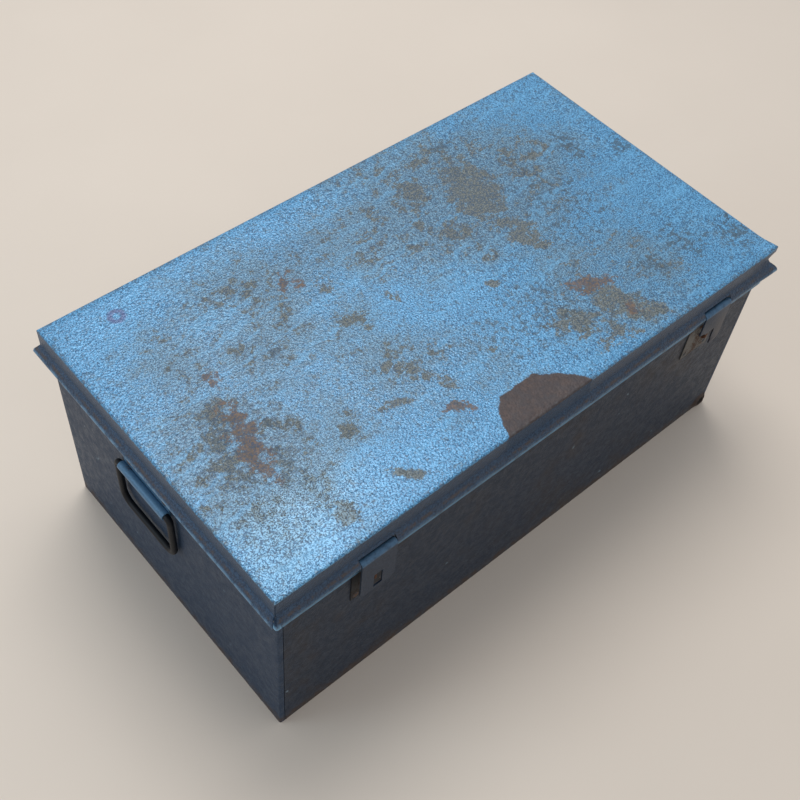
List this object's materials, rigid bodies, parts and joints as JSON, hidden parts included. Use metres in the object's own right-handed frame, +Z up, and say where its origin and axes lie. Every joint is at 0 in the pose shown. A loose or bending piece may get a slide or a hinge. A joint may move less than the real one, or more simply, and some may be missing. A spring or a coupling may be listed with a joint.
{
  "type": "steel tool box with tray",
  "caption": "Long low sheet-steel tool box with a hinged wired-edge lid, slotted hasps over padlock eyes, drop handles on the ends and a tote tray that slides on inner ledges.",
  "frame": {"origin": "on the floor, at the middle of the underside of the body", "axes": "+X along the length towards the right end, +Y from the hasps to the hinges, +Z up"},
  "size_m": [0.6848, 0.3863, 0.2692],
  "materials": {
    "lid_paint": "worn blue hammered enamel with rust patches",
    "body_paint": "worn dark blue hammered enamel",
    "hasp_paint": "worn dark blue enamel, chipped at the edges",
    "bare_wire": "bare wire, lightly rusted",
    "rusty_steel": "rusted bar",
    "dark_steel": "dark blue painted bar worn to steel at the bends",
    "rivet_steel": "painted rivet heads",
    "zinc_steel": "dull zinc-plated steel",
    "tray_paint": "blue hammered enamel, scuffed inside"
  },
  "bodies": {
    "body": {"body_floor_panel": "body_paint", "body_front_panel": "body_paint", "body_left_end": "body_paint", "body_rear_panel": "body_paint", "body_right_end": "body_paint", "handle_retainer_left": "body_paint", "handle_retainer_right": "body_paint", "handle_rivets_left": "rivet_steel", "handle_rivets_right": "rivet_steel", "hinge_leaf_left": "hasp_paint", "hinge_leaf_right": "hasp_paint", "hinge_rivets_left": "rivet_steel", "hinge_rivets_right": "rivet_steel", "staple_left": "rusty_steel", "staple_plate_left": "hasp_paint", "staple_plate_right": "hasp_paint", "staple_right": "rusty_steel", "staple_rivets_left": "rivet_steel", "staple_rivets_right": "rivet_steel", "stay_stud": "zinc_steel", "tray_ledge_front": "body_paint", "tray_ledge_rear": "body_paint"},
    "lid": {"lid_shell": "lid_paint", "lid_wire_front": "bare_wire", "lid_wire_rear": "bare_wire", "lid_wire_left": "bare_wire", "lid_wire_right": "bare_wire", "stay_bracket": "zinc_steel", "stay_pivot_rivet": "zinc_steel"},
    "stay": {"stay_arm": "zinc_steel"},
    "hasp_left": {"hasp_strap_left": "hasp_paint"},
    "hasp_right": {"hasp_strap_right": "hasp_paint"},
    "handle_left": {"handle_bail_left": "dark_steel"},
    "handle_right": {"handle_bail_right": "dark_steel"},
    "tray": {"tray_pan": "tray_paint", "tray_divider_long": "tray_paint", "tray_divider_front": "tray_paint", "tray_divider_rear": "tray_paint", "tray_grip": "dark_steel"}
  },
  "joints": [
    {"name": "lid_hinge", "type": "hinge", "parent": "body", "child": "lid", "pos_m": [0, 0.18915, 0.23745], "axis": [-1, 0, 0], "range_deg": [0, 100]},
    {"name": "stay_swing", "type": "hinge", "parent": "lid", "child": "stay", "pos_m": [0.3216, 0.0759, 0.25745], "axis": [1, 0, 0], "range_deg": [0, 50]},
    {"name": "tray_slide", "type": "slide", "parent": "body", "child": "tray", "axis": [1, 0, 0], "range_m": [0, 0.24]},
    {"name": "hasp_left_swing", "type": "hinge", "parent": "lid", "child": "hasp_left", "pos_m": [-0.226, -0.18915, 0.23745], "axis": [-1, 0, 0], "range_deg": [-8.8, 145]},
    {"name": "hasp_right_swing", "type": "hinge", "parent": "lid", "child": "hasp_right", "pos_m": [0.243, -0.18915, 0.23745], "axis": [-1, 0, 0], "range_deg": [-8.8, 145]},
    {"name": "handle_left_swing", "type": "hinge", "parent": "body", "child": "handle_left", "pos_m": [-0.3358, 0.02, 0.1902], "axis": [0, 1, 0], "range_deg": [0, 160]},
    {"name": "handle_right_swing", "type": "hinge", "parent": "body", "child": "handle_right", "pos_m": [0.3358, 0.02, 0.1902], "axis": [0, -1, 0], "range_deg": [0, 160]}
  ],
  "couplings": [
    {"joint": "stay_swing", "follows": "lid_hinge", "ratio": 0.5}
  ]
}
